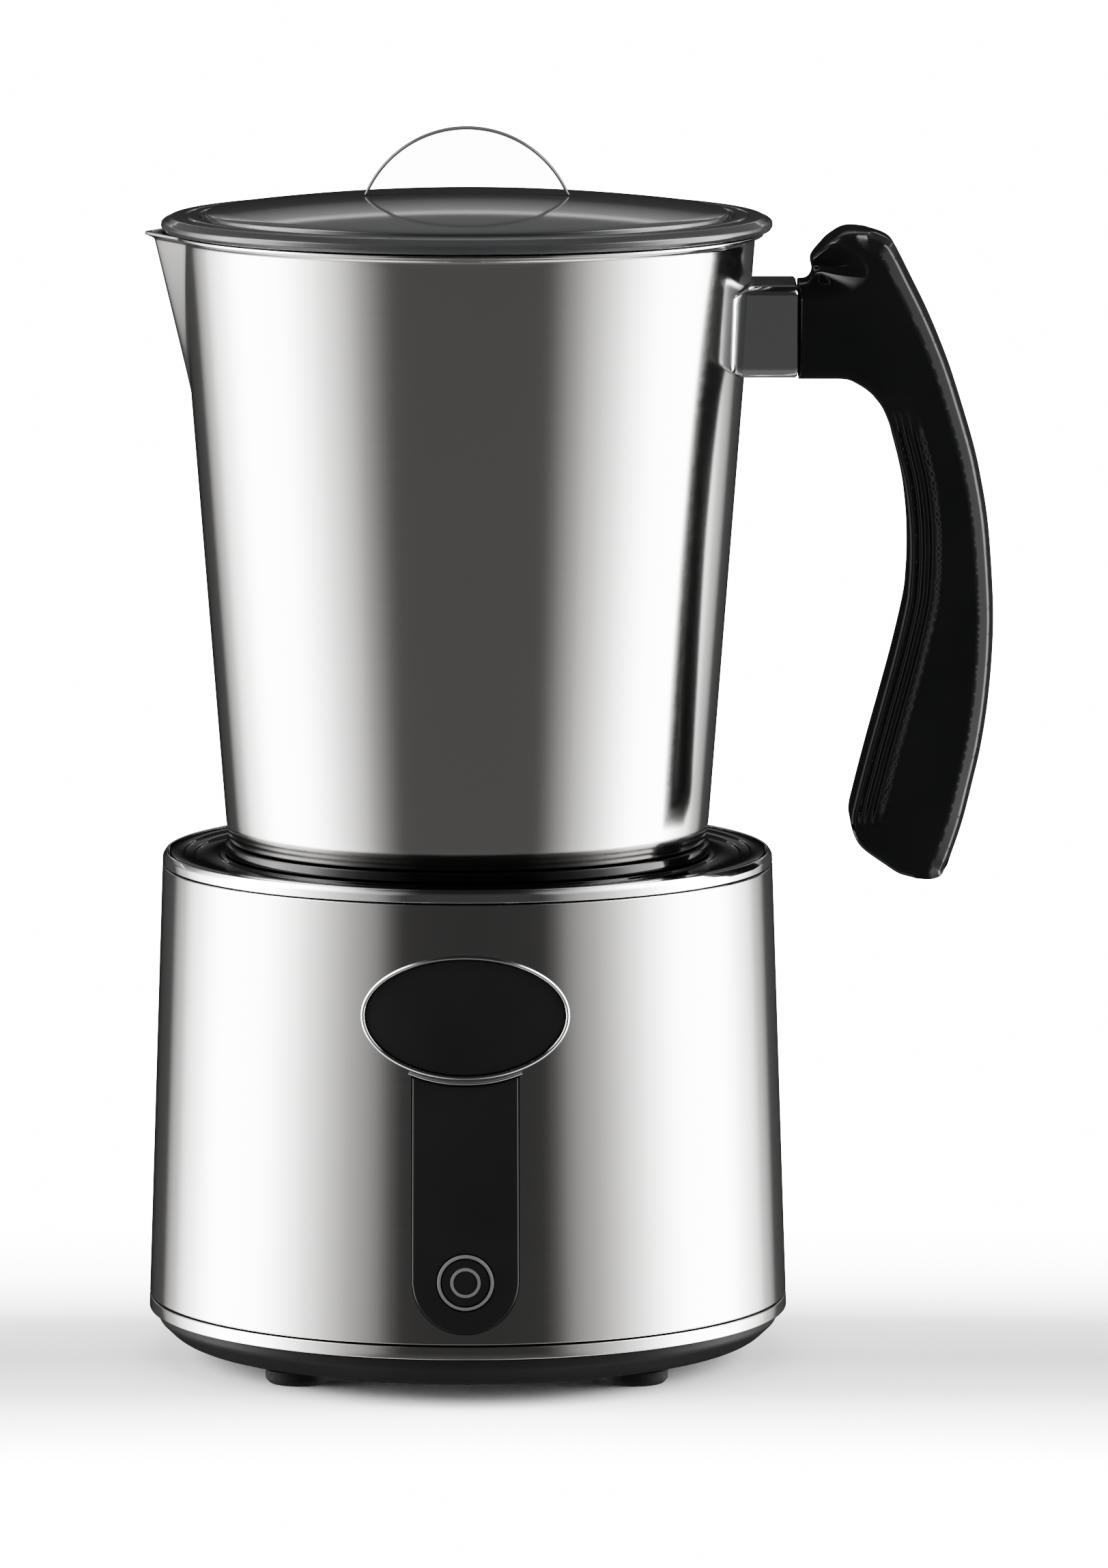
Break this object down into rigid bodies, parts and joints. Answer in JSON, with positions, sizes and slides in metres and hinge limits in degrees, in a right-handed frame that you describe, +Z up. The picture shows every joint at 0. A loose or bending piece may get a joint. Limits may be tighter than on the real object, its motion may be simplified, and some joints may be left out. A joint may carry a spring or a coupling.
{
  "type": "milk frother",
  "caption": "Induction milk frother: round steel base with a front button, a lift-off steel jug with a bowed black handle, a magnetic whisk and a smoky lid.",
  "frame": {"origin": "centre of the bounding box, on the surface the feet stand on", "axes": "+Z up, -Y the front with the button, +X towards the handle, -X towards the spout. The round body's axis is 18.9 mm from the origin on the -X side."},
  "size_m": [0.1602, 0.121, 0.2332],
  "materials": {
    "base_shell": "satin",
    "top_ring": "polished",
    "lower_band": "satin",
    "deck": "high gloss",
    "chassis": "satin moulded",
    "foot": "matt",
    "screw": "zinc plated",
    "motor_frame": "moulded",
    "motor_can": "satin",
    "coil_former": "moulded",
    "copper": "enamelled wire",
    "ferrite": "sintered",
    "sensor": "satin",
    "board": "solder mask",
    "capacitor": "sleeved",
    "heat_sink": "extruded",
    "fan": "moulded",
    "switch": "moulded",
    "panel": "high gloss",
    "print_grey": "gloss",
    "bezel": "polished",
    "inlet": "moulded",
    "shaft": "ground",
    "carrier": "moulded",
    "magnet": "nickel plated",
    "jug_body": "satin",
    "bracket": "satin",
    "grip": "high gloss",
    "bush": "moulded",
    "whisk_hub": "moulded",
    "whisk_coil": "drawn wire",
    "lid_shell": "smoky translucent",
    "seal": "matt",
    "lid_grip": "clear"
  },
  "bodies": {
    "base": {"base_shell": "base_shell", "top_ring": "top_ring", "lower_band": "lower_band", "deck": "deck", "chassis": "chassis", "foot_front_left": "foot", "foot_front_right": "foot", "foot_rear_left": "foot", "foot_rear_right": "foot", "chassis_screw_1": "screw", "chassis_screw_2": "screw", "chassis_screw_3": "screw", "chassis_screw_4": "screw", "motor_frame": "motor_frame", "motor_can": "motor_can", "coil_former": "coil_former", "induction_coil": "copper", "ferrite_bar_1": "ferrite", "ferrite_bar_2": "ferrite", "ferrite_bar_3": "ferrite", "ferrite_bar_4": "ferrite", "temperature_sensor": "sensor", "power_board": "board", "capacitor": "capacitor", "filter_choke": "copper", "heat_sink": "heat_sink", "fan_frame": "fan", "control_board": "board", "tact_switch": "switch", "control_strip": "panel", "button_bezel": "print_grey", "oval_bezel": "bezel", "oval_window": "panel", "cable_inlet": "inlet"},
    "drive": {"motor_shaft": "shaft", "magnet_carrier": "carrier", "drive_magnet_1": "magnet", "drive_magnet_2": "magnet", "drive_magnet_3": "magnet", "drive_magnet_4": "magnet"},
    "fan": {"fan_rotor": "fan"},
    "button": {"button_cap": "panel", "button_light_ring": "print_grey"},
    "jug": {"jug_body": "jug_body", "handle_bracket": "bracket", "handle_grip": "grip", "handle_screw_1": "screw", "handle_screw_2": "screw", "whisk_spindle": "shaft"},
    "whisk_bush": {"whisk_bush": "bush"},
    "whisk": {"whisk_hub": "whisk_hub", "whisk_coil": "whisk_coil", "whisk_magnet_1": "magnet", "whisk_magnet_2": "magnet"},
    "lid": {"lid_shell": "lid_shell", "lid_seal": "seal", "lid_grip": "lid_grip"}
  },
  "joints": [
    {"name": "jug_lift", "type": "slide", "parent": "base", "child": "jug", "axis": [0, 0, 1], "range_m": [0, 0.06]},
    {"name": "lid_lift", "type": "slide", "parent": "jug", "child": "lid", "axis": [0, 0, 1], "range_m": [0, 0.08]},
    {"name": "whisk_lift", "type": "slide", "parent": "jug", "child": "whisk_bush", "axis": [0, 0, 1], "range_m": [0, 0.016]},
    {"name": "whisk_spin", "type": "hinge", "parent": "whisk_bush", "child": "whisk", "pos_m": [-0.0189, 0, 0.102], "axis": [0, 0, 1], "continuous": true},
    {"name": "drive_spin", "type": "hinge", "parent": "base", "child": "drive", "pos_m": [-0.0189, 0, 0.088], "axis": [0, 0, 1], "continuous": true},
    {"name": "fan_spin", "type": "hinge", "parent": "base", "child": "fan", "pos_m": [-0.0189, 0, 0.011], "axis": [0, 0, 1], "continuous": true},
    {"name": "button_push", "type": "slide", "parent": "base", "child": "button", "axis": [0, 1, 0], "range_m": [0, 0.0008], "stiffness_N_per_m": 600, "springref_m": -0.0008}
  ],
  "couplings": [
    {"joint": "whisk_spin", "follows": "drive_spin", "ratio": 1}
  ]
}
